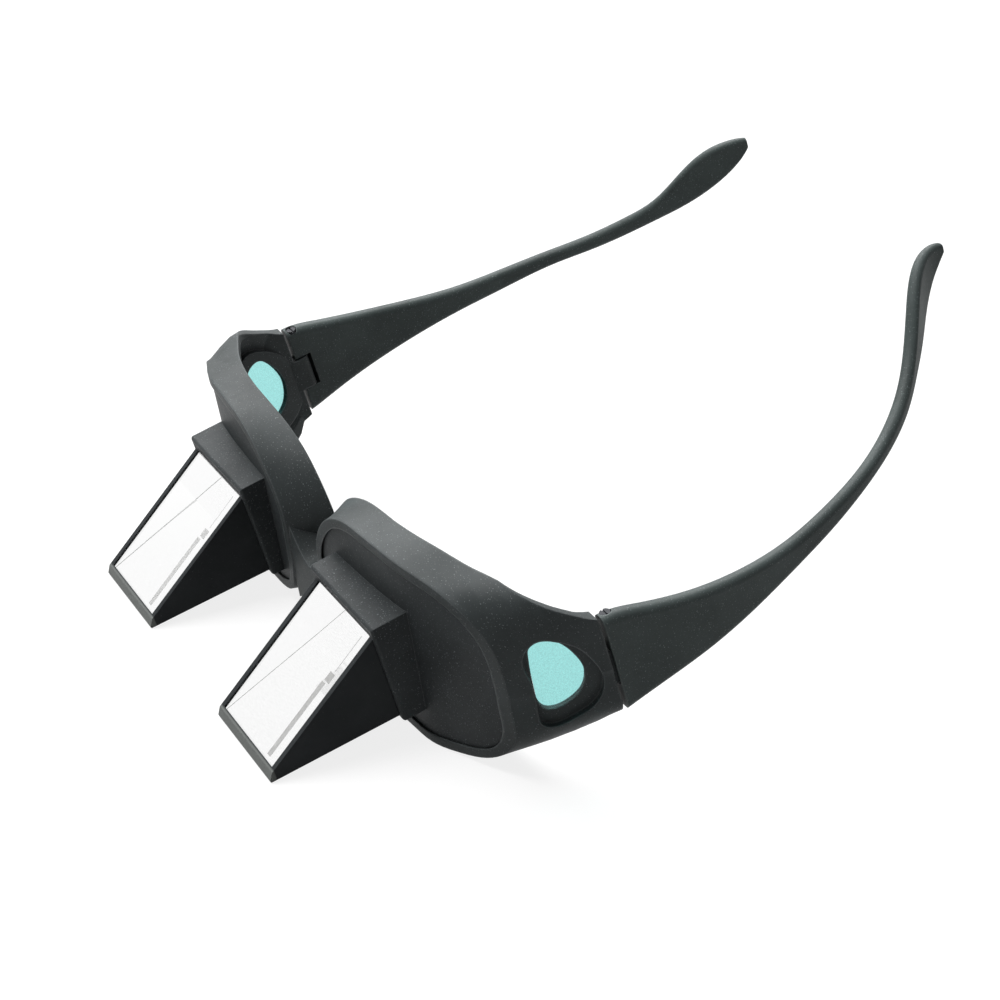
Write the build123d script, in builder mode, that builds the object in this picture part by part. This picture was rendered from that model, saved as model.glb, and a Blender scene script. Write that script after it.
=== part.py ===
from build123d import *
from math import cos, radians, sin, sqrt
import os

# Sizes are in millimetres.
# The model is drawn upright: X runs across, Y runs back along the temples and Z runs up the hinge pins.
# Its origin is at mid width, on the front face of the collars, level with their tops.
# The last section tips it onto its resting face, and puts the floor at zero.

# Whole front
half_span = 78.7
hinge_setback = 38.0
rest_tilt = 16.3
front_lean = 0.14
overrun = 4.0
fit_clearance = 0.05

# Cup walls
cup_inner_x = 6.0
cup_top = 12.5
cup_drop = 8.86
cup_datum = 9.0
cup_crown = 1.8
endpiece_step = 0.286
cup_wall = 2.2
rim_proud = 0.5

# Across the cup, down the cup, how far the wall runs outward and upward for each step back,
# then the share of the crown that the wall has there.
cup_outline_shares = [
    (0.027, 0.299, -0.65, 0.00, 0.00),
    (0.076, 0.212, -0.60, -0.09, 0.00),
    (0.171, 0.112, -0.33, -0.13, 0.00),
    (0.294, 0.035, -0.07, -0.16, 0.00),
    (0.449, 0.004, 0.15, -0.12, 0.00),
    (0.578, 0.000, 0.28, -0.06, 0.00),
    (0.676, 0.011, 0.38, -0.07, 0.15),
    (0.751, 0.033, 0.46, -0.13, 0.35),
    (0.829, 0.061, 0.51, -0.16, 0.80),
    (0.895, 0.116, 0.50, -0.13, 1.00),
    (0.967, 0.240, 0.40, -0.05, 0.80),
    (0.997, 0.426, 0.36, 0.00, 0.30),
    (0.998, 0.579, 0.36, 0.00, 0.10),
    (0.994, 0.710, 0.36, 0.00, 0.10),
    (0.983, 0.830, 0.37, 0.04, 0.15),
    (0.946, 0.926, 0.38, 0.11, 0.20),
    (0.817, 0.978, 0.32, -0.05, 0.20),
    (0.683, 0.996, 0.15, -0.22, 0.00),
    (0.524, 1.000, 0.00, -0.29, 0.00),
    (0.349, 0.985, -0.08, -0.29, 0.00),
    (0.183, 0.945, -0.25, -0.22, 0.00),
    (0.071, 0.858, -0.45, -0.12, 0.00),
    (0.016, 0.710, -0.60, -0.03, 0.00),
    (0.003, 0.513, -0.66, 0.00, 0.00),
]
outline_break_shares = [4, 12, 18, 23]

# How the crown rises and falls: shares of the hinge setback and of the crown
crown_profile_shares = [
    (0.00, 0.00),
    (0.38, 0.00),
    (0.47, 0.52),
    (0.57, 0.92),
    (0.70, 0.82),
    (0.84, 0.25),
    (1.00, 0.00),
]

# Front and rear edges of the cups seen from above, as a share of the half span across,
# then shares of the hinge setback at the bottom and at the top of the cups.
front_edge_shares = [
    (-0.051, 0.048, 0.197),
    (0.152, 0.048, 0.197),
    (0.280, 0.059, 0.204),
    (0.445, 0.074, 0.220),
    (0.546, 0.090, 0.236),
    (0.635, 0.119, 0.262),
    (0.712, 0.188, 0.311),
    (0.788, 0.262, 0.357),
    (0.889, 0.386, 0.428),
    (0.991, 0.526, 0.512),
    (1.144, 0.712, 0.628),
]
rear_edge_shares = [
    (-0.051, 0.352, 0.369),
    (0.076, 0.368, 0.391),
    (0.152, 0.379, 0.409),
    (0.254, 0.384, 0.415),
    (0.381, 0.395, 0.411),
    (0.521, 0.405, 0.425),
    (0.635, 0.436, 0.467),
    (0.724, 0.484, 0.523),
    (0.801, 0.539, 0.581),
    (0.877, 0.631, 0.659),
    (0.919, 0.785, 0.763),
    (0.940, 0.855, 0.855),
    (0.956, 0.926, 0.926),
]

# Side walls seen from the side: shares of the hinge setback back and of the cup height down.
side_top_shares = [
    (0.526, -0.050),
    (0.566, 0.031),
    (0.605, 0.085),
    (0.658, 0.135),
    (0.711, 0.177),
    (0.763, 0.214),
    (0.824, 0.251),
    (0.887, 0.288),
    (0.939, 0.311),
    (1.105, 0.325),
]
side_bottom_shares = [
    (1.105, 0.825),
    (0.947, 0.829),
    (0.868, 0.851),
    (0.829, 0.882),
    (0.789, 0.917),
    (0.711, 0.968),
    (0.632, 1.012),
    (0.553, 1.067),
]

# Bridge between the cups
bridge_half = 11.0
bridge_height = 24.0
bridge_top = -3.0
bridge_depth = 5.0
bridge_front = 6.1
bridge_outline_shares = {
    "top": [(-1.0, 0.0), (-0.55, 0.30), (0.0, 0.44), (0.55, 0.30), (1.0, 0.0)],
    "bottom": [(1.0, 1.0), (0.45, 0.88), (0.0, 0.84), (-0.45, 0.88), (-1.0, 1.0)],
}

# Hinge
hinge_inset = 2.7
knuckle_radius = 1.75
hinge_top = -1.9
hinge_height = 23.2
upper_knuckle = 7.8
lower_knuckle = 6.6
knuckle_gap = 0.3
knuckle_root = 0.8
hinge_gap = 0.8
endpiece_depth = 5.5
endpiece_width = 4.4
temple_face_setback = 1.7
notch_gap = 0.3
notch_depth = 2.4

# Hinge screw
screw_diameter = 1.2
screw_head_diameter = 2.3
screw_head_height = 0.7
screw_recess_diameter = 2.6
screw_recess_depth = 1.1
screw_end_cover = 1.2
screw_running_gap = 0.06
screw_slot_width = 0.4
screw_slot_depth = 0.3

# Temple
temple_reach = 111.5
temple_thickness = 4.0
# Share of the reach back, of the half span across, of the hinge height for the top and bottom edges,
# then the thickness as a share.
temple_station_shares = [
    (0.062, 0.981, 0.085, 0.930, 0.98),
    (0.170, 0.984, 0.238, 0.845, 0.90),
    (0.275, 0.969, 0.345, 0.759, 0.85),
    (0.380, 0.940, 0.405, 0.675, 0.81),
    (0.485, 0.902, 0.395, 0.600, 0.78),
    (0.592, 0.851, 0.350, 0.508, 0.78),
    (0.680, 0.790, 0.282, 0.440, 0.78),
    (0.756, 0.723, 0.160, 0.335, 0.78),
    (0.812, 0.660, 0.000, 0.215, 0.76),
    (0.864, 0.597, -0.270, 0.085, 0.74),
    (0.915, 0.535, -0.500, -0.085, 0.70),
    (0.965, 0.494, -0.565, -0.270, 0.64),
    (1.000, 0.484, -0.530, -0.420, 0.50),
]
temple_corner_share = 0.42

# Side window, in the plane of the side wall
window_setback = 26.7
window_drop = 12.8
window_splay = 19.8
pocket_width = 14.4
pocket_height = 21.8
pocket_depth = 1.7
pocket_outline_shares = [
    (-0.390, 0.445),
    (-0.190, 0.497),
    (0.042, 0.431),
    (0.283, 0.287),
    (0.426, 0.092),
    (0.493, -0.106),
    (0.417, -0.284),
    (0.229, -0.408),
    (-0.049, -0.477),
    (-0.333, -0.505),
    (-0.479, -0.450),
    (-0.503, -0.298),
    (-0.470, 0.080),
]
window_width = 10.7
window_height = 17.2
window_shift = 1.32
window_lift = 0.83
window_outline_shares = [
    (-0.350, 0.446),
    (-0.185, 0.494),
    (-0.010, 0.492),
    (0.137, 0.431),
    (0.270, 0.335),
    (0.406, 0.171),
    (0.490, -0.020),
    (0.472, -0.160),
    (0.341, -0.338),
    (0.085, -0.451),
    (-0.230, -0.497),
    (-0.400, -0.462),
    (-0.492, -0.354),
    (-0.496, -0.200),
    (-0.475, 0.000),
    (-0.448, 0.190),
    (-0.415, 0.335),
]
window_thickness = 1.1
window_pad_border = 1.6
window_pad_thickness = 3.5

# Prism holder
prism_pitch = 67.6
panel_thickness = 1.8
collar_side_wall = 1.0
collar_top_wall = 1.15
collar_depth = 10.6
collar_round = 0.7

# Prism casing
casing_width = 27.7
casing_height = 21.8
casing_wall = 1.3
casing_reach = 29.8
casing_nose_wall = 1.9
casing_bottom_rise = 0.9
casing_nose_height = 2.1
casing_nose_run = 1.2
casing_mouth_drop = 1.6
casing_round = 0.35

# Prism
prism_tail_gap = 0.2
prism_recess = 0.6
glue_gap = 0.08

# Rear bezel
bezel_border = 2.6
bezel_thickness = 1.4

# Places worked out from the sizes
collar_width = casing_width + 2 * collar_side_wall
collar_height = casing_height + 2 * collar_top_wall
cup_height = cup_top + collar_height + cup_drop
hinge_x = half_span - hinge_inset
prism_x = prism_pitch / 2
hinge_bottom = hinge_top - hinge_height
temple_face = hinge_setback - temple_face_setback
end_face = temple_face - hinge_gap
middle_top = hinge_top - upper_knuckle
middle_bottom = hinge_bottom + lower_knuckle
casing_tail = collar_depth - bezel_thickness - fit_clearance
prism_tail = casing_tail - prism_tail_gap
casing_top = -collar_top_wall
casing_bottom = casing_top - casing_height

# The row of the outline that reaches furthest out carries the side window and the hinge
side_across, side_down, side_run, side_rise, side_crown = max(cup_outline_shares)
cup_reach = half_span - endpiece_step - cup_inner_x
cup_width = (cup_reach - side_run * (end_face - cup_datum)) / side_across


def cup_section(setback, inset, crown=0):
    """Points of a cup's outline at one setback, moved inward by the inset, less the crown."""
    points = []
    for across, down, run_x, run_z, crowned in cup_outline_shares:
        step = setback - cup_datum
        x = cup_inner_x + across * cup_width + run_x * step
        z = cup_top - down * cup_height + run_z * step
        points.append((x, z))
    moved = []
    for i, (x, z) in enumerate(points):
        before = points[i - 1]
        after = points[(i + 1) % len(points)]
        run = (after[0] - before[0], after[1] - before[1])
        length = sqrt(run[0] ** 2 + run[1] ** 2)
        move = (inset - crown * cup_outline_shares[i][-1]) / length
        moved.append((x + run[1] * move, z - run[0] * move))
    return moved


def cup_outline(setback, inset, crown):
    """A cup's closed outline: stretches of spline that meet where the wall is flattest."""
    points = cup_section(setback, inset, crown)
    round_again = points + points
    next_breaks = outline_break_shares[1:] + [outline_break_shares[0] + len(points)]
    with BuildLine(Plane.XZ.offset(-setback)) as outline:
        for start, end in zip(outline_break_shares, next_breaks):
            Spline(*round_again[start : end + 1])
    return outline.wire()


def cup_loft(inset):
    """One cup's tapering form as a solid, smaller than its outside by the inset."""
    outlines = [
        cup_outline(back * hinge_setback, inset, rise * cup_crown)
        for back, rise in crown_profile_shares
    ]
    return Solid.make_loft(outlines, True)


def edge_at(shares, level, shift):
    """Points of a front or rear edge at one level, moved back by the shift."""
    rise = (level - cup_top + cup_height) / cup_height
    return [
        (x * half_span, (low + rise * (high - low)) * hinge_setback + shift)
        for x, low, high in shares
    ]


def plan_slab(front_shift, rear_shift=None):
    """A slab between the front edge and either the rear edge or a second copy of the front edge."""
    with BuildPart() as slab:
        for level in (cup_top - cup_height - overrun, cup_top + overrun):
            front = edge_at(front_edge_shares, level, front_shift)
            if rear_shift is None:
                rear = edge_at(rear_edge_shares, level, 0)
                corners = [(rear[-1][0], end_face), (front[-1][0] + overrun, end_face)]
            else:
                rear = edge_at(front_edge_shares, level, rear_shift)
                corners = [((rear[-1][0] + front[-1][0]) / 2, (rear[-1][1] + front[-1][1]) / 2)]
            with BuildSketch(Plane.XY.offset(level)):
                with BuildLine():
                    Spline(*front)
                    Spline(*rear)
                    Line(front[0], rear[0])
                    Polyline(rear[-1], *corners, front[-1])
                make_face()
        loft(ruled=True)
    return slab.part


outer_form = cup_loft(0)
inner_form = cup_loft(cup_wall)

# Front frame: the right cup, its mirror image and the bridge
with BuildPart() as right_cup:
    add(outer_form)
    add(inner_form, mode=Mode.SUBTRACT)
    add(plan_slab(-rim_proud), mode=Mode.INTERSECT)

with BuildPart() as right_endpiece:
    with BuildSketch(Plane.XY.offset(-cup_height)):
        with Locations((half_span, end_face)):
            Rectangle(endpiece_width * 2, endpiece_depth, align=(Align.CENTER, Align.MAX))
    extrude(amount=2 * cup_height)
    add(outer_form, mode=Mode.INTERSECT)

with BuildPart() as bridge:
    with BuildSketch(Plane.XZ.offset(cup_datum)):
        with BuildLine():
            rows = {
                side: [(x * bridge_half, bridge_top - z * bridge_height) for x, z in shares]
                for side, shares in bridge_outline_shares.items()
            }
            Spline(*rows["top"])
            Line(rows["top"][-1], rows["bottom"][0])
            Spline(*rows["bottom"])
            Line(rows["bottom"][-1], rows["top"][0])
        make_face()
    extrude(amount=-4 * cup_datum)
    with BuildSketch(Plane(origin=(0, bridge_front - front_lean * cup_height, -cup_height))):
        Rectangle(3 * bridge_half, bridge_depth, align=(Align.CENTER, Align.MIN))
    extrude(
        amount=2 * cup_height * sqrt(1 + front_lean**2), dir=(0, front_lean, 1), mode=Mode.INTERSECT
    )
    add(inner_form, mode=Mode.SUBTRACT)
    add(inner_form.mirror(Plane.YZ), mode=Mode.SUBTRACT)

# The plane of the wall that carries a side window
window_plane = Plane(
    origin=(
        cup_inner_x + side_across * cup_width + side_run * (window_setback - cup_datum),
        window_setback,
        -window_drop,
    ),
    x_dir=(sin(radians(window_splay)), cos(radians(window_splay)), 0),
    z_dir=(cos(radians(window_splay)), -sin(radians(window_splay)), 0),
)


def window_face(shares, width, height, shift=0, lift=0):
    """An outline in the side window's plane, from a table of shares."""
    with BuildSketch() as face:
        with BuildLine():
            Spline(*[(u * width - shift, v * height + lift) for u, v in shares], periodic=True)
        make_face()
    return face.sketch


def pane_face(gap=0):
    """The side window's own outline, smaller all round by the gap."""
    return window_face(
        window_outline_shares,
        window_width - 2 * gap,
        window_height - 2 * gap,
        window_shift,
        window_lift,
    )


# Hinge levels: the middle knuckle belongs to the front, the upper and lower ones to the temple
middle_start = middle_bottom + knuckle_gap
middle_height = middle_top - knuckle_gap - middle_start
hinge_pin = (hinge_x, hinge_setback)

with BuildPart() as right_window_pad:
    with BuildSketch(window_plane.offset(overrun)):
        add(
            window_face(
                pocket_outline_shares,
                pocket_width + 2 * window_pad_border,
                pocket_height + 2 * window_pad_border,
            )
        )
    extrude(amount=-overrun - window_pad_thickness)
    add(outer_form, mode=Mode.INTERSECT)

with BuildPart() as side_profile:
    with BuildSketch(Plane.YZ):
        with BuildLine():
            top_edge = [(y * hinge_setback, cup_top - z * cup_height) for y, z in side_top_shares]
            bottom_edge = [
                (y * hinge_setback, cup_top - z * cup_height) for y, z in side_bottom_shares
            ]
            Spline(*top_edge)
            Polyline(top_edge[-1], *bottom_edge, (-cup_height, bottom_edge[-1][1]),
                     (-cup_height, top_edge[0][1]), top_edge[0])
        make_face()
    extrude(amount=2 * half_span, both=True)

with BuildPart() as right_half:
    add(right_cup.part)
    add(right_endpiece.part)
    add(right_window_pad.part)
    add(side_profile.part, mode=Mode.INTERSECT)
    with BuildSketch(Plane.XY.offset(middle_start)):
        with Locations(hinge_pin):
            Circle(knuckle_radius)
            Rectangle(
                2 * knuckle_radius,
                temple_face_setback + hinge_gap + knuckle_root,
                align=(Align.CENTER, Align.MAX),
            )
    extrude(amount=middle_height)
    with BuildSketch(window_plane.offset(overrun)):
        add(window_face(pocket_outline_shares, pocket_width, pocket_height))
    extrude(amount=-overrun - pocket_depth, mode=Mode.SUBTRACT)
    with BuildSketch(window_plane.offset(-pocket_depth)):
        add(pane_face())
    extrude(amount=-2 * cup_wall, mode=Mode.SUBTRACT)
    with BuildSketch(Plane.XY.offset(middle_start)):
        with Locations(hinge_pin):
            Circle(screw_diameter / 2 + screw_running_gap)
    extrude(amount=middle_height, mode=Mode.SUBTRACT)

with BuildPart() as front_frame:
    add(right_half.part)
    mirror(right_half.part, about=Plane.YZ)
    add(bridge.part)

# Side window: a clear tinted plate set in the wall
with BuildPart() as right_side_window:
    with BuildSketch(window_plane.offset(-pocket_depth - fit_clearance)):
        add(pane_face(fit_clearance))
    extrude(amount=-window_thickness)

# Prism holder: the recessed panel with its square collar
with BuildPart() as right_prism_holder:
    add(cup_loft(cup_wall + fit_clearance))
    add(plan_slab(0, panel_thickness), mode=Mode.INTERSECT)
    with BuildSketch(Plane.XZ.offset(-collar_depth)):
        with Locations((prism_x, 0)):
            Rectangle(collar_width, collar_height, align=(Align.CENTER, Align.MAX))
    extrude(amount=collar_depth)
    collar_front = right_prism_holder.faces().filter_by(Axis.Y).sort_by(Axis.Y)[0]
    fillet(collar_front.edges(), collar_round)
    with BuildSketch(Plane.XZ.offset(-collar_depth)):
        with Locations((prism_x, casing_top + fit_clearance)):
            Rectangle(
                casing_width + 2 * fit_clearance,
                casing_height + 2 * fit_clearance,
                align=(Align.CENTER, Align.MAX),
            )
    extrude(amount=collar_depth, mode=Mode.SUBTRACT)

# Prism casing: a wedge-shaped shell, open on its long slope and at the back
nose_z = casing_bottom + casing_bottom_rise
nose_top_y = casing_nose_run - casing_reach
nose_top_z = nose_z + casing_nose_height
mouth_z = casing_top - casing_mouth_drop
slope = (mouth_z - nose_top_z) / -nose_top_y
floor_slope = casing_bottom_rise / casing_reach
side_plane = Plane(origin=(prism_x, 0, 0), x_dir=(0, 1, 0), z_dir=(1, 0, 0))
floor_z = casing_bottom + casing_wall
inner_nose_y = casing_nose_wall - casing_reach

with BuildPart() as right_prism_casing:
    with BuildSketch(side_plane):
        with BuildLine():
            Polyline(
                (casing_tail, casing_top),
                (0, casing_top),
                (0, mouth_z),
                (nose_top_y, nose_top_z),
                (-casing_reach, nose_z),
                (0, casing_bottom),
                (casing_tail, casing_bottom),
                close=True,
            )
        make_face()
    extrude(amount=casing_width / 2, both=True)
    nose_edges = right_prism_casing.edges().filter_by(Axis.X).group_by(Axis.Y)[0]
    fillet(nose_edges, casing_round)
    with BuildSketch(side_plane):
        with BuildLine():
            Polyline(
                (casing_tail, casing_top - casing_wall),
                (0, casing_top - casing_wall),
                (0, casing_top + overrun),
                (inner_nose_y, casing_top + overrun),
                (inner_nose_y, floor_z - inner_nose_y * floor_slope),
                (0, floor_z),
                (casing_tail, floor_z),
                close=True,
            )
        make_face()
    extrude(amount=casing_width / 2 - casing_wall, both=True, mode=Mode.SUBTRACT)

# Prism: its long slope is bare, and its lower face is the mirror
glass_mouth_z = mouth_z - prism_recess
glass_top = casing_top - casing_wall - glue_gap
glass_nose_y = inner_nose_y + glue_gap
with BuildPart() as right_prism:
    with BuildSketch(side_plane):
        with BuildLine():
            Polyline(
                (prism_tail, glass_top),
                ((glass_top - glass_mouth_z) / slope, glass_top),
                (glass_nose_y, glass_mouth_z + glass_nose_y * slope),
                (glass_nose_y, floor_z + glue_gap - glass_nose_y * floor_slope),
                (0, floor_z + glue_gap),
                (prism_tail, floor_z + glue_gap),
                close=True,
            )
        make_face()
    extrude(amount=casing_width / 2 - casing_wall - glue_gap, both=True)

# Rear bezel: a frame behind the prism, inside the collar
with BuildPart() as right_prism_bezel:
    with BuildSketch(Plane.XZ.offset(-casing_tail - fit_clearance)):
        with Locations((prism_x, casing_top - casing_height / 2)):
            Rectangle(casing_width, casing_height)
            Rectangle(
                casing_width - 2 * bezel_border,
                casing_height - 2 * bezel_border,
                mode=Mode.SUBTRACT,
            )
    extrude(amount=-bezel_thickness)


def temple_stations():
    """Centre, plan direction, height and thickness of each section of the right temple."""
    rows = [(temple_face, half_span - temple_thickness / 2, hinge_top, hinge_bottom, 1.0)]
    for back, across, upper, lower, share in temple_station_shares:
        rows.append(
            (
                hinge_setback + back * temple_reach,
                across * half_span,
                hinge_top - upper * hinge_height,
                hinge_top - lower * hinge_height,
                share,
            )
        )
    stations = []
    for i, (y, x, upper, lower, share) in enumerate(rows):
        before = rows[max(i - 1, 0)]
        after = rows[min(i + 1, len(rows) - 1)]
        heading = Vector(after[1] - before[1], after[0] - before[0], 0) if i else Vector(0, 1, 0)
        heading = heading.normalized()
        plane = Plane(
            origin=(x, y, (upper + lower) / 2), x_dir=(-heading.Y, heading.X, 0), z_dir=heading
        )
        stations.append((plane, upper - lower, share * temple_thickness))
    return stations


# Temple: one smooth arm with the upper and lower knuckles
with BuildPart() as right_temple:
    for plane, height, thickness in temple_stations():
        with BuildSketch(plane):
            RectangleRounded(thickness, height, temple_corner_share * thickness)
    loft()
    with BuildSketch(Plane.XY.offset(middle_bottom)):
        with Locations((hinge_x + knuckle_radius + notch_gap, hinge_setback + notch_depth)):
            Rectangle(
                2 * temple_thickness,
                notch_depth + temple_face_setback + overrun,
                align=(Align.MAX, Align.MAX),
            )
    extrude(amount=middle_top - middle_bottom, mode=Mode.SUBTRACT)
    with BuildSketch(Plane.XY.offset(hinge_bottom + screw_end_cover)):
        with Locations(hinge_pin):
            Circle(screw_diameter / 2 + fit_clearance)
    extrude(amount=hinge_height, mode=Mode.SUBTRACT)
    with BuildSketch(Plane.XY.offset(hinge_top - screw_recess_depth)):
        with Locations(hinge_pin):
            Circle(screw_recess_diameter / 2)
    extrude(amount=hinge_height, mode=Mode.SUBTRACT)

# Hinge screw
screw_seat = hinge_top - screw_recess_depth
screw_end = hinge_bottom + screw_end_cover
with BuildPart() as right_hinge_screw:
    with BuildSketch(Plane.XY.offset(screw_end + fit_clearance)):
        with Locations(hinge_pin):
            Circle(screw_diameter / 2)
    extrude(amount=screw_seat - screw_end)
    with BuildSketch(Plane.XY.offset(screw_seat + fit_clearance)):
        with Locations(hinge_pin):
            Circle(screw_head_diameter / 2)
    extrude(amount=screw_head_height)
    with BuildSketch(Plane.XY.offset(screw_seat + fit_clearance + screw_head_height)):
        with Locations(hinge_pin):
            Rectangle(screw_head_diameter, screw_slot_width)
    extrude(amount=-screw_slot_depth, mode=Mode.SUBTRACT)


# Resting place: tipped so that the casing tips and the cup bottoms are on the floor
def stand(shape):
    """The shape tipped by the rest tilt about the X axis."""
    return shape.moved(Location((0, 0, 0), (rest_tilt, 0, 0)))


right_parts = {
    "prism_holder": right_prism_holder.part,
    "prism_casing": right_prism_casing.part,
    "prism": right_prism.part,
    "prism_bezel": right_prism_bezel.part,
    "side_window": right_side_window.part,
    "temple": right_temple.part,
    "hinge_screw": right_hinge_screw.part,
}
pieces = {"front_frame": front_frame.part}
for name, shape in right_parts.items():
    pieces["right_" + name] = shape
    pieces["left_" + name] = shape.mirror(Plane.YZ)

standing = {name: stand(shape) for name, shape in pieces.items()}
boxes = [shape.bounding_box() for shape in standing.values()]
front_y = min(box.min.Y for box in boxes)
back_y = max(box.max.Y for box in boxes)
floor_z = min(box.min.Z for box in boxes)
floor_shift = Location((0, -(front_y + back_y) / 2, -floor_z))

os.makedirs("parts", exist_ok=True)
for name, shape in standing.items():
    placed = shape.moved(floor_shift)
    placed.label = name
    export_step(placed, f"parts/{name}.step")
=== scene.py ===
from functools import cached_property
from math import radians

import bmesh
import bpy
from mathutils import Matrix, Vector


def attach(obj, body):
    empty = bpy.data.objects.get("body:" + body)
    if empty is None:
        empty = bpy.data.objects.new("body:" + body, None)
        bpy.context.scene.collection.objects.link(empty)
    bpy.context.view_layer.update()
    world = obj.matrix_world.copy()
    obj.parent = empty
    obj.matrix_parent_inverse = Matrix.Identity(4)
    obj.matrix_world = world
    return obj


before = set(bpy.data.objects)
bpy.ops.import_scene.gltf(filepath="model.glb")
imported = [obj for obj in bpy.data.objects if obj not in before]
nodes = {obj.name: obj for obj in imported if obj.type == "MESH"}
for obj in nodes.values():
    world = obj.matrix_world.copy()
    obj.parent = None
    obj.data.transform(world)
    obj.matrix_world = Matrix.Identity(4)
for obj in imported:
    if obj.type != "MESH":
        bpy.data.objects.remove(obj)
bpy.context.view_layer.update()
scene = bpy.context.scene
scene.view_settings.view_transform = "Standard"

# The glasses stand tipped: these turn the upright drawing's millimetres into metres here
TILT = radians(16.3)
SHIFT = Vector((0.0, -0.0595405, 0.0293961))
STAND = Matrix.Translation(SHIFT) @ Matrix.Rotation(TILT, 4, "X")
BACKWARD = STAND.to_3x3() @ Vector((0.0, 1.0, 0.0))
SIDES = (("right", 1.0), ("left", -1.0))


def at(x, y, z):
    """A point of the upright drawing, in the frame's metres."""
    return STAND @ Vector((x / 1000.0, y / 1000.0, z / 1000.0))


# Camera
CAMERA_PLACE = (0.4191, -0.225758, 0.272517)
CAMERA_HEADING = (-0.7826, 0.4119, -0.4668)
CAMERA_LENS, CAMERA_SENSOR = 86.4, 36.0


def turned_to(heading):
    """The rotation of a camera or lamp that faces along the heading."""
    return Vector(heading).to_track_quat("-Z", "Y").to_euler()


cam_data = bpy.data.cameras.new("camera")
cam_data.lens = CAMERA_LENS
cam_data.sensor_width = CAMERA_SENSOR
cam_data.clip_start = 0.01
camera = bpy.data.objects.new("camera", cam_data)
camera.location = CAMERA_PLACE
camera.rotation_euler = turned_to(CAMERA_HEADING)
scene.collection.objects.link(camera)
scene.camera = camera


# Materials
BLACK, WHITE = (0.0,) * 3, (1.0,) * 3
NODE_SETTINGS = ("operation", "data_type", "blend_type", "samples")
MIX_COLOUR_INPUTS, MIX_COLOUR_OUTPUT = (0, 6, 7), 2


class Graph:
    """A small helper that adds nodes to a material or the world, and links them."""

    def __init__(self, owner, output="ShaderNodeOutputMaterial"):
        owner.use_nodes = True
        self.tree = owner.node_tree
        self.tree.nodes.clear()
        self.out = self.add(output)

    @cached_property
    def coord(self):
        """The object's own coordinates."""
        return self.add("ShaderNodeTexCoord").outputs["Object"]

    def put(self, value, socket):
        """Link a socket, or set a plain value."""
        if isinstance(value, bpy.types.NodeSocket):
            self.tree.links.new(value, socket)
        else:
            socket.default_value = value

    def add(self, kind, **inputs):
        node = self.tree.nodes.new(kind)
        for key, value in inputs.items():
            if key in NODE_SETTINGS:
                setattr(node, key, value)
            else:
                self.put(value, node.inputs[key.replace("_", " ")])
        return node

    def ramp(self, source, stops):
        node = self.add("ShaderNodeValToRGB", Fac=source)
        elements = node.color_ramp.elements
        for element, (place, colour) in zip(elements, stops):
            element.position = place
            element.color = (*colour, 1.0)
        return node.outputs["Color"]

    def noise(self, scale, detail, rough, vector=None):
        node = self.add(
            "ShaderNodeTexNoise",
            Vector=vector or self.coord,
            Scale=scale,
            Detail=detail,
            Roughness=rough,
        )
        return node.outputs["Fac"]

    def remap(self, source, to_low, to_high, from_low=0.0, from_high=1.0):
        node = self.add(
            "ShaderNodeMapRange",
            Value=source,
            From_Min=from_low,
            From_Max=from_high,
            To_Min=to_low,
            To_Max=to_high,
        )
        return node.outputs["Result"]

    def calc(self, operation, *values):
        node = self.add("ShaderNodeMath", operation=operation)
        for value, socket in zip(values, node.inputs):
            self.put(value, socket)
        return node.outputs[0]

    def vector_calc(self, operation, *values):
        node = self.add("ShaderNodeVectorMath", operation=operation)
        for value, socket in zip(values, node.inputs):
            self.put(value, socket)
        return node.outputs["Value"]

    def mix_colours(self, share, first, second, blend_type="MIX"):
        node = self.add("ShaderNodeMix", data_type="RGBA", blend_type=blend_type)
        for value, number in zip((share, first, second), MIX_COLOUR_INPUTS):
            self.put(value, node.inputs[number])
        return node.outputs[MIX_COLOUR_OUTPUT]

    def mix_shaders(self, share, first, second):
        node = self.add("ShaderNodeMixShader")
        for value, socket in zip((share, first, second), node.inputs):
            self.put(value, socket)
        return node.outputs[0]

    def surface(self, shader):
        self.put(shader, self.out.inputs["Surface"])


def start(name):
    """A new material and the graph that fills it."""
    material = bpy.data.materials.new(name)
    return material, Graph(material)


# How the moulded plastic is marked: noise scales are per metre
CLOUD_SCALE, FLECK_SCALE, GRAIN_SCALE, WAVE_SCALE, SHINE_SCALE = 55.0, 3400.0, 3200.0, 240.0, 420.0
WAVE_SHARE, GRAIN_STRENGTH = 0.6, 0.55
FLECK_FADE, SHINE_SPREAD = 0.09, 0.07
# Painted highlight: how strongly the edges are painted pale
EDGE_HIGHLIGHT = 0.9
# Painted shade: how far the darkening of crevices reaches
CREVICE_REACH = 0.0012
EDGE_SAMPLES = 6
# Painted highlight on the casing's lip: where it ends, how it fades, and its colour
LIP_BACK, LIP_FADE = -0.0280, 0.0003
LIP_LIGHT_COLOUR = (0.135, 0.143, 0.138)


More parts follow.
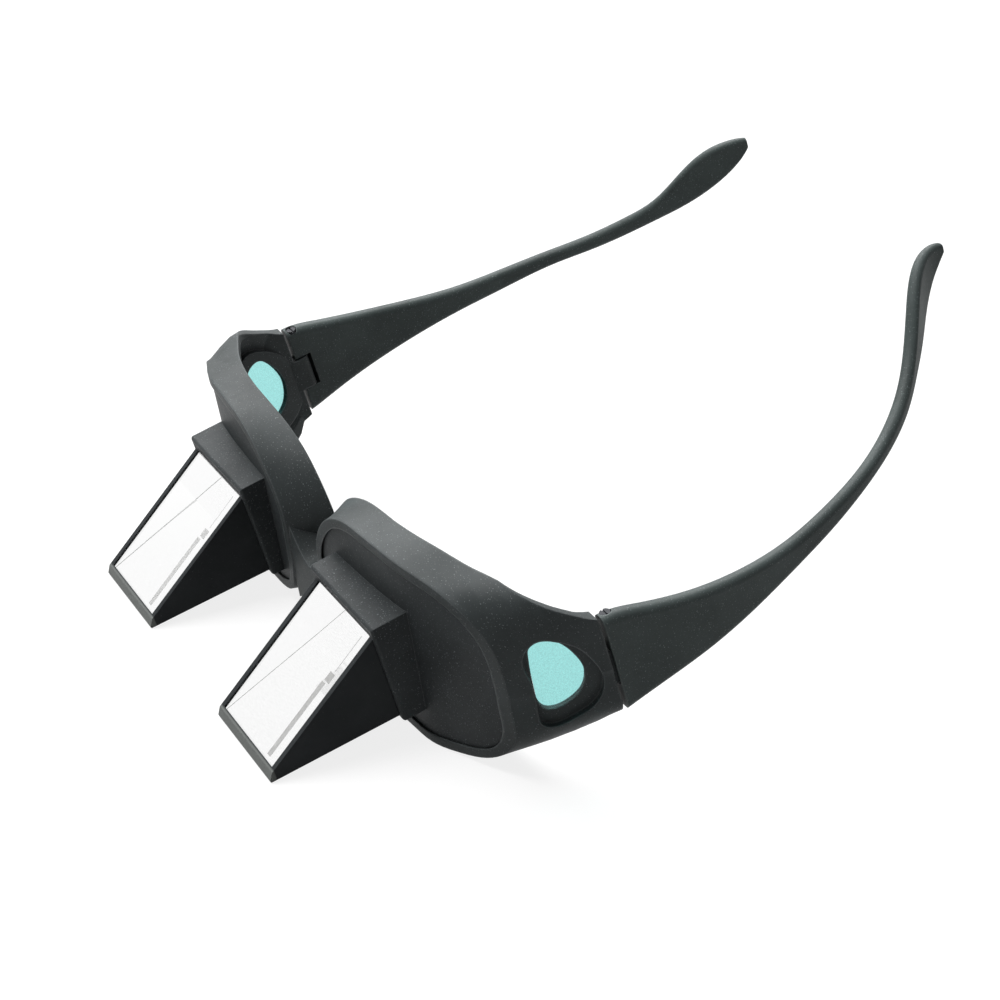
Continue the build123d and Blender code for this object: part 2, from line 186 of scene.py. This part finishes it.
def moulded(
    name,
    dark,
    pale,
    fleck_and_highlight,
    rough,
    grain_depth,
    edge,
    fleck_cut=0.66,
    spec=0.15,
    painted_lip_light=False,
):
    """Moulded plastic: fine grain, cloudy tone, pale flecks, edges painted pale as a painted
    highlight (partly also wear), and painted shade in the crevices.
    """
    material, g = start(name)
    cloud = g.ramp(g.noise(CLOUD_SCALE, 4.0, 0.6), [(0.35, dark), (0.70, pale)])
    flecks = g.ramp(
        g.noise(FLECK_SCALE, 1.0, 0.4), [(fleck_cut, BLACK), (fleck_cut + FLECK_FADE, WHITE)]
    )
    colour = g.mix_colours(flecks, cloud, (*fleck_and_highlight, 1.0))

    # An edge is where the rounded normal leaves the true one, and it is painted pale: a painted
    # highlight along the edges, partly also wear
    soft = g.add("ShaderNodeBevel", samples=EDGE_SAMPLES, Radius=edge).outputs["Normal"]
    true = g.add("ShaderNodeNewGeometry").outputs["Normal"]
    edge_highlight = g.ramp(
        g.vector_calc("DOT_PRODUCT", soft, true), [(0.72, (EDGE_HIGHLIGHT,) * 3), (0.97, BLACK)]
    )
    colour = g.mix_colours(edge_highlight, colour, (*fleck_and_highlight, 1.0))

    if painted_lip_light:
        # The casing's lip, which stands on the table, is painted pale: a painted highlight where
        # the light falls on it
        depth = g.vector_calc("DOT_PRODUCT", g.coord, BACKWARD)
        lip_end = (STAND @ Vector((0.0, LIP_BACK, 0.0))).dot(BACKWARD)
        lip_light = g.remap(depth, 1.0, 0.0, lip_end - LIP_FADE, lip_end)
        colour = g.mix_colours(lip_light, colour, (*LIP_LIGHT_COLOUR, 1.0))

    # Painted shade: crevices and recesses are darkened by ambient occlusion
    crevice = g.add("ShaderNodeAmbientOcclusion", samples=EDGE_SAMPLES, Distance=CREVICE_REACH)
    crevice_shade = g.ramp(crevice.outputs["AO"], [(0.25, (0.12,) * 3), (0.65, WHITE)])
    colour = g.mix_colours(1.0, colour, crevice_shade, blend_type="MULTIPLY")

    wave, grain = g.noise(WAVE_SCALE, 2.0, 0.5), g.noise(GRAIN_SCALE, 2.0, 0.6)
    bump = g.add(
        "ShaderNodeBump",
        Strength=GRAIN_STRENGTH,
        Distance=grain_depth,
        Height=g.calc("MULTIPLY_ADD", wave, WAVE_SHARE, grain),
        Normal=soft,
    )
    shine = g.remap(g.noise(SHINE_SCALE, 3.0, 0.6), rough - SHINE_SPREAD, rough + SHINE_SPREAD)
    bsdf = g.add(
        "ShaderNodeBsdfPrincipled",
        Base_Color=colour,
        Roughness=shine,
        Normal=bump.outputs["Normal"],
        Specular_IOR_Level=spec,
    )
    g.surface(bsdf.outputs[0])
    return material


frame_plastic = moulded(
    "frame_plastic",
    dark=(0.024, 0.0285, 0.029),
    pale=(0.039, 0.046, 0.047),
    fleck_and_highlight=(0.14, 0.155, 0.158),
    rough=0.52,
    grain_depth=0.00003,
    edge=0.0007,
    fleck_cut=0.67,
)
holder_plastic = moulded(
    "holder_plastic",
    dark=(0.025, 0.0283, 0.0295),
    pale=(0.041, 0.0462, 0.048),
    fleck_and_highlight=(0.13, 0.145, 0.15),
    rough=0.50,
    grain_depth=0.00003,
    edge=0.0003,
    spec=0.10,
)
casing_plastic = moulded(
    "casing_plastic",
    dark=(0.021, 0.0232, 0.0247),
    pale=(0.032, 0.0352, 0.037),
    fleck_and_highlight=(0.08, 0.088, 0.09),
    rough=0.50,
    grain_depth=0.00001,
    edge=0.0002,
    fleck_cut=0.72,
    spec=0.05,
    # the casing's lip gets a painted highlight
    painted_lip_light=True,
)
temple_plastic = moulded(
    "temple_plastic",
    dark=(0.034, 0.043, 0.0422),
    pale=(0.055, 0.069, 0.0675),
    fleck_and_highlight=(0.14, 0.165, 0.163),
    rough=0.50,
    grain_depth=0.00003,
    edge=0.0005,
)

# Glass
GLASS_SHINE_SCALE, GLASS_SHINE_SPREAD = 160.0, 0.02
PANE_BUMP_SCALE, PANE_BUMP_STRENGTH = 1500.0, 0.4
# The painted shade on the pane's edge faces: its colour, roughness and specular
RIM_SHADE_COLOUR, RIM_ROUGH, RIM_SPEC = (0.02, 0.024, 0.024), 0.6, 0.1
RIM_TURN = 0.6


def glass_shader(g, colour, ior, rough, bump_depth=0.0):
    """A principled glass whose colour is one value or a socket."""
    bsdf = g.add("ShaderNodeBsdfPrincipled", IOR=ior, Base_Color=colour, Transmission_Weight=1.0)
    shine = g.remap(g.noise(GLASS_SHINE_SCALE, 3.0, 0.6), rough, rough + GLASS_SHINE_SPREAD)
    g.put(shine, bsdf.inputs["Roughness"])
    if bump_depth:
        bump = g.add(
            "ShaderNodeBump",
            Strength=PANE_BUMP_STRENGTH,
            Distance=bump_depth,
            Height=g.noise(PANE_BUMP_SCALE, 2.0, 0.6),
        )
        g.put(bump.outputs["Normal"], bsdf.inputs["Normal"])
    return bsdf.outputs[0]


def clear_to_shadows(g, body, colour):
    """Let the lamps' light through, tinted by the colour."""
    clear = g.add("ShaderNodeBsdfTransparent", Color=(*colour, 1.0))
    path = g.add("ShaderNodeLightPath")
    g.surface(g.mix_shaders(path.outputs["Is Shadow Ray"], body, clear.outputs[0]))


def prism(name, colour, ior, rough, white_after):
    """Clear glass. A ray that has met more surfaces than white_after glows white, a painted
    reflection of the room that stands in for its endless inner reflections."""
    material, g = start(name)
    body = glass_shader(g, (*colour, 1.0), ior, rough)
    # Painted reflection: the glass glows white for rays past white_after
    room = g.add("ShaderNodeEmission", Strength=1.0)
    path = g.add("ShaderNodeLightPath")
    deep = g.calc("GREATER_THAN", path.outputs["Ray Depth"], white_after)
    clear_to_shadows(g, g.mix_shaders(deep, body, room.outputs[0]), colour)
    return material


def tinted_pane(name, colour, ior, rough, bump_depth, grains):
    """Tinted glass with a speckle of the given strength, and its edge faces painted dark: a
    painted shade at the window's rim.
    """
    material, g = start(name)
    low, high = (tuple(c * (1.0 + sign * grains) for c in colour) for sign in (-1.0, 1.0))
    speckle = g.ramp(g.noise(GRAIN_SCALE, 2.0, 0.6), [(0.30, low), (0.70, high)])
    body = glass_shader(g, speckle, ior, rough, bump_depth)
    # Painted shade: the edge faces, whose normal turns away from the side, are painted dark
    normal = g.add("ShaderNodeNewGeometry").outputs["Normal"]
    facing = g.add("ShaderNodeSeparateXYZ", Vector=normal).outputs["X"]
    rim = g.calc("LESS_THAN", g.calc("ABSOLUTE", facing), RIM_TURN)
    rim_shade = g.add(
        "ShaderNodeBsdfPrincipled",
        Base_Color=(*RIM_SHADE_COLOUR, 1.0),
        Roughness=RIM_ROUGH,
        Specular_IOR_Level=RIM_SPEC,
    )
    clear_to_shadows(g, g.mix_shaders(rim, body, rim_shade.outputs[0]), colour)
    return material


prism_glass = prism("prism_glass", (0.998, 1.0, 0.999), ior=1.49, rough=0.0, white_after=2.5)
window_tint = tinted_pane(
    "window_tint", (0.268, 0.60, 0.588), ior=1.46, rough=0.06, bump_depth=0.00002, grains=0.14
)

# Metal
STREAK_STRETCH, STREAK_SCALE, STREAK_SHADE = (1.0, 12.0, 1.0), 900.0, 0.85


def metal(name, colour, rough, brushed):
    """Metal with fine streaks, which get rougher by up to the brushed share."""
    material, g = start(name)
    stretch = g.add("ShaderNodeMapping", Vector=g.coord, Scale=STREAK_STRETCH)
    streaks = g.noise(STREAK_SCALE, 3.0, 0.5, stretch.outputs["Vector"])
    dull = tuple(STREAK_SHADE * c for c in colour)
    bsdf = g.add(
        "ShaderNodeBsdfPrincipled",
        Metallic=1.0,
        Base_Color=g.ramp(streaks, [(0.3, dull), (0.7, colour)]),
        Roughness=g.remap(streaks, rough, rough + brushed),
    )
    g.surface(bsdf.outputs[0])
    return material


screw_steel = metal("screw_steel", (0.030, 0.031, 0.034), rough=0.50, brushed=0.15)
mirror_coat = metal("mirror_coat", (0.99, 0.99, 0.99), rough=0.0, brushed=0.02)

# Seam films
FILM_SCALE, FILM_ROUGH, FILM_SPEC = 700.0, 0.7, 0.2
FILM_DARK, FILM_PALE = (0.38, 0.38, 0.375), (0.43, 0.43, 0.425)
FILM_ALPHA = {"right": 0.8, "left": 0.45}


def film(name, alpha):
    """A thin matt film, cloudy, that lets part of the light through."""
    material, g = start(name)
    bsdf = g.add(
        "ShaderNodeBsdfPrincipled",
        Base_Color=g.ramp(g.noise(FILM_SCALE, 3.0, 0.6), [(0.35, FILM_DARK), (0.65, FILM_PALE)]),
        Roughness=FILM_ROUGH,
        Specular_IOR_Level=FILM_SPEC,
        Alpha=alpha,
    )
    g.surface(bsdf.outputs[0])
    return material


seam_films = {side: film(side + "_seam_film", alpha) for side, alpha in FILM_ALPHA.items()}

finish = {
    "front_frame": frame_plastic,
    "prism_holder": holder_plastic,
    "prism_casing": casing_plastic,
    "prism_bezel": casing_plastic,
    "prism": prism_glass,
    "side_window": window_tint,
    "temple": temple_plastic,
    "hinge_screw": screw_steel,
}
for name, node in nodes.items():
    kind = name if name in finish else name.split("_", 1)[1]
    node.data.materials.clear()
    node.data.materials.append(finish[kind])


def solid_from_profile(name, profile, half_width, centre_x):
    """A closed mesh: a profile of (y, z) millimetres carried across the width."""
    count = len(profile)
    verts = [at(centre_x - half_width, y, z) for y, z in profile]
    verts += [at(centre_x + half_width, y, z) for y, z in profile]
    faces = [tuple(range(count)), tuple(reversed(range(count, 2 * count)))]
    for i in range(count):
        j = (i + 1) % count
        faces.append((i, i + count, j + count, j))
    mesh = bpy.data.meshes.new(name)
    mesh.from_pydata(verts, [], faces)
    bm = bmesh.new()
    bm.from_mesh(mesh)
    bmesh.ops.recalc_face_normals(bm, faces=bm.faces)
    bm.to_mesh(mesh)
    bm.free()
    obj = bpy.data.objects.new(name, mesh)
    scene.collection.objects.link(obj)
    return obj


# The prisms' places, in the drawing's millimetres
PRISM_X = 33.8
PRISM_HALF = 12.47

# Mirror coats: each prism's lower face runs level to the collar and then rises to the nose
COAT_HALF = 12.44
COAT_PROFILE = [
    (8.85, -21.635),
    (0.0, -21.635),
    (-27.75, -20.80),
    (-27.75, -20.77),
    (0.0, -21.605),
    (8.85, -21.605),
]
for side, sign in SIDES:
    coat = solid_from_profile(side + "_mirror_coat", COAT_PROFILE, COAT_HALF, sign * PRISM_X)
    coat.data.materials.append(mirror_coat)
    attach(coat, "front")

# Pale seam strips on each prism's slope, beside the cheek on the right_ side.
# Each has its distances inside the prism's edge, and its shares of the way from nose to collar.
SEAM_RUNS = (
    (2.9, 4.3, 0.03, 0.60),
    (1.9, 3.9, 0.615, 0.68),
    (2.55, 2.7, 0.70, 0.97),
)
SLOPE_NOSE, SLOPE_COLLAR = (-27.82, -20.08), (0.0, -3.35)
ABOVE_GLASS, FILM_THICKNESS = 0.05, 0.03


def on_slope(share):
    """The point at a share of the way from the slope's nose to its collar."""
    return [nose + (collar - nose) * share for nose, collar in zip(SLOPE_NOSE, SLOPE_COLLAR)]


for side, sign in SIDES:
    for number, (outer, inner, low, high) in enumerate(SEAM_RUNS):
        ends = [on_slope(share) for share in (low, high)]
        under = [(y, z + ABOVE_GLASS) for y, z in ends]
        over = [(y, z + ABOVE_GLASS + FILM_THICKNESS) for y, z in reversed(ends)]
        seam = solid_from_profile(
            f"{side}_seam_{number}",
            under + over,
            (inner - outer) / 2,
            sign * PRISM_X + PRISM_HALF - (inner + outer) / 2,
        )
        seam.data.materials.append(seam_films[side])
        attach(seam, "front")


# Floor, world and lamps
FLOOR_HALF, FLOOR_DROP = 4, 0.0002
FLOOR_LIT, FLOOR_SEEN = 0.40, 0.20
GLOW_NEAR, GLOW_FAR = (0.4, 0.83), (1.5, 0.98)
WORLD_LIGHT = 0.13


def white_rays(g):
    """1 for rays that see the white room: the camera's, mirrored ones and those in glass."""
    path = g.add("ShaderNodeLightPath")
    found = path.outputs["Is Camera Ray"]
    for kind in ("Is Glossy Ray", "Is Transmission Ray"):
        found = g.calc("MAXIMUM", found, path.outputs[kind])
    return found


floor_mesh = bpy.data.meshes.new("floor")
corners = [(x * FLOOR_HALF, y * FLOOR_HALF, 0) for x, y in ((-1, -1), (1, -1), (1, 1), (-1, 1))]
floor_mesh.from_pydata(corners, [], [(0, 1, 2, 3)])
floor = bpy.data.objects.new("floor", floor_mesh)
floor.location.z = -FLOOR_DROP
scene.collection.objects.link(floor)

# The floor lights the object as a plain grey, and is seen as white that keeps the shadow.
# Its glow rises with the distance, so that no grey band shows at the horizon.
floor_finish, g = start("floor")
matte = g.add("ShaderNodeBsdfDiffuse", Color=(*(FLOOR_LIT,) * 3, 1.0))
shadowed = g.add("ShaderNodeBsdfDiffuse", Color=(*(FLOOR_SEEN,) * 3, 1.0))
distance = g.vector_calc("LENGTH", g.coord)
glow = g.add(
    "ShaderNodeEmission",
    Strength=g.remap(distance, GLOW_NEAR[1], GLOW_FAR[1], GLOW_NEAR[0], GLOW_FAR[0]),
)
seen = g.add("ShaderNodeAddShader")
g.put(shadowed.outputs[0], seen.inputs[0])
g.put(glow.outputs[0], seen.inputs[1])
g.surface(g.mix_shaders(white_rays(g), matte.outputs[0], seen.outputs[0]))
floor_mesh.materials.append(floor_finish)

world = bpy.data.worlds.new("world")
scene.world = world
g = Graph(world, "ShaderNodeOutputWorld")
lit, white = (
    g.add("ShaderNodeBackground", Color=(*WHITE, 1.0), Strength=strength)
    for strength in (WORLD_LIGHT, 1.0)
)
g.surface(g.mix_shaders(white_rays(g), lit.outputs[0], white.outputs[0]))


def lamp(name, place, aim, side, power):
    """A square lamp that faces its aim."""
    data = bpy.data.lights.new(name, "AREA")
    data.shape = "RECTANGLE"
    data.size = data.size_y = side
    data.energy = power
    obj = bpy.data.objects.new(name, data)
    obj.location = place
    obj.rotation_euler = turned_to(Vector(aim) - Vector(place))
    scene.collection.objects.link(obj)


lamp("back_lamp", place=(-0.75, 0.2, 0.85), aim=(0, 0, 0), side=0.9, power=18.5)
lamp("front_lamp", place=(-0.25, -0.40, 0.95), aim=(0, -0.05, 0.02), side=0.6, power=11.5)
